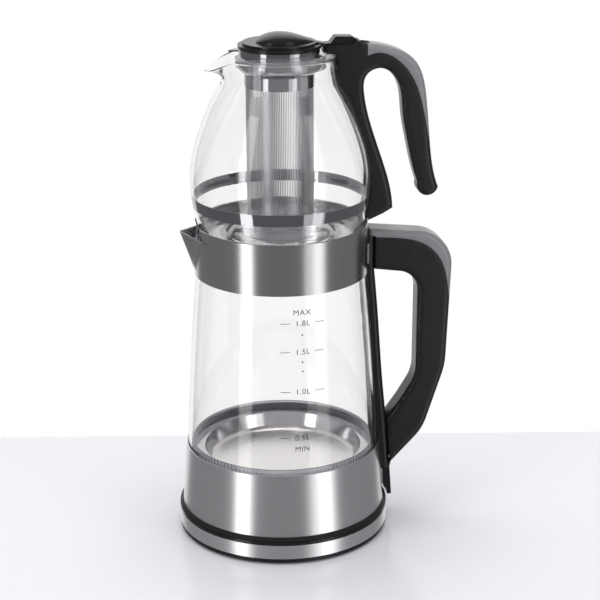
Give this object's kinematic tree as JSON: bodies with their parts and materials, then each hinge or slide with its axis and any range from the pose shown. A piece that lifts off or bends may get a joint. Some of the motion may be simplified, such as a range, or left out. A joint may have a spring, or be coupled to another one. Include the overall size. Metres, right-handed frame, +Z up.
{
  "type": "electric tea maker",
  "caption": "Two-tier electric tea maker: corded power base, glass kettle with steel collar and spout, and a glass teapot with steel infuser and hinged lid.",
  "frame": {"origin": "centre of the power base on the surface it stands on", "axes": "+Z up through the kettle and the teapot; -X towards the kettle's spout and the teapot's lip, +X towards both handles"},
  "size_m": [0.2116, 0.1636, 0.3873],
  "materials": {
    "black_gloss": "polished",
    "black_matte": "fine satin",
    "grey_trim": "satin, metallic look",
    "brushed_steel": "brushed round the body",
    "polished_steel": "polished",
    "pan_steel": "dull",
    "kettle_glass": "clear",
    "teapot_glass": "clear",
    "black_rubber": "matte",
    "clear_silicone": "translucent",
    "clear_plastic": "translucent",
    "inner_plastic": "as moulded",
    "plated_screws": "plated",
    "brass_contacts": "bare",
    "aluminium": "bare"
  },
  "bodies": {
    "base": {"base_foot_ring": "black_rubber", "base_bottom": "black_matte", "base_housing": "black_gloss", "base_trim": "brushed_steel", "base_plug": "black_matte", "base_contacts": "brass_contacts", "base_screws": "plated_screws", "cord_gland": "black_matte"},
    "kettle": {"kettle_base_cover": "black_matte", "kettle_base_screws": "plated_screws", "kettle_shell": "brushed_steel", "kettle_chassis": "inner_plastic", "kettle_socket": "inner_plastic", "kettle_contacts": "brass_contacts", "kettle_control": "inner_plastic", "heat_spreader": "aluminium", "heating_element": "pan_steel", "kettle_floor": "pan_steel", "glass_gasket": "clear_silicone", "kettle_glass": "kettle_glass", "kettle_collar": "brushed_steel", "collar_seal": "clear_silicone", "pot_seat": "pan_steel", "kettle_spout": "brushed_steel", "collar_bracket": "pan_steel", "handle_spine": "black_gloss", "kettle_grip": "black_gloss", "kettle_grip_trim": "grey_trim", "handle_screws": "plated_screws", "lever_pin": "plated_screws"},
    "power_lever": {"power_lever": "black_gloss"},
    "teapot": {"teapot_glass": "teapot_glass", "teapot_band": "polished_steel", "band_screw": "plated_screws", "teapot_handle": "black_gloss", "teapot_handle_trim": "grey_trim", "rim_clip": "polished_steel", "clip_screw": "plated_screws", "infuser_seat": "clear_plastic", "infuser_collar": "polished_steel", "infuser_basket": "polished_steel", "infuser_floor": "polished_steel", "hinge_pin": "plated_screws"},
    "lid": {"lid_shell": "black_gloss", "lid_plug": "black_matte", "lid_seal": "black_rubber"}
  },
  "joints": [
    {"name": "kettle_lift", "type": "slide", "parent": "base", "child": "kettle", "axis": [0, 0, 1], "range_m": [0, 0.05]},
    {"name": "power_switch", "type": "hinge", "parent": "kettle", "child": "power_lever", "pos_m": [0.08359, 0, 0.0515], "axis": [0, -1, 0], "range_deg": [0, 14]},
    {"name": "teapot_lift", "type": "slide", "parent": "kettle", "child": "teapot", "axis": [0, 0, 1], "range_m": [0, 0.08]},
    {"name": "lid_hinge", "type": "hinge", "parent": "teapot", "child": "lid", "pos_m": [0.057, 0, 0.3765], "axis": [0, 1, 0], "range_deg": [0, 95]}
  ]
}
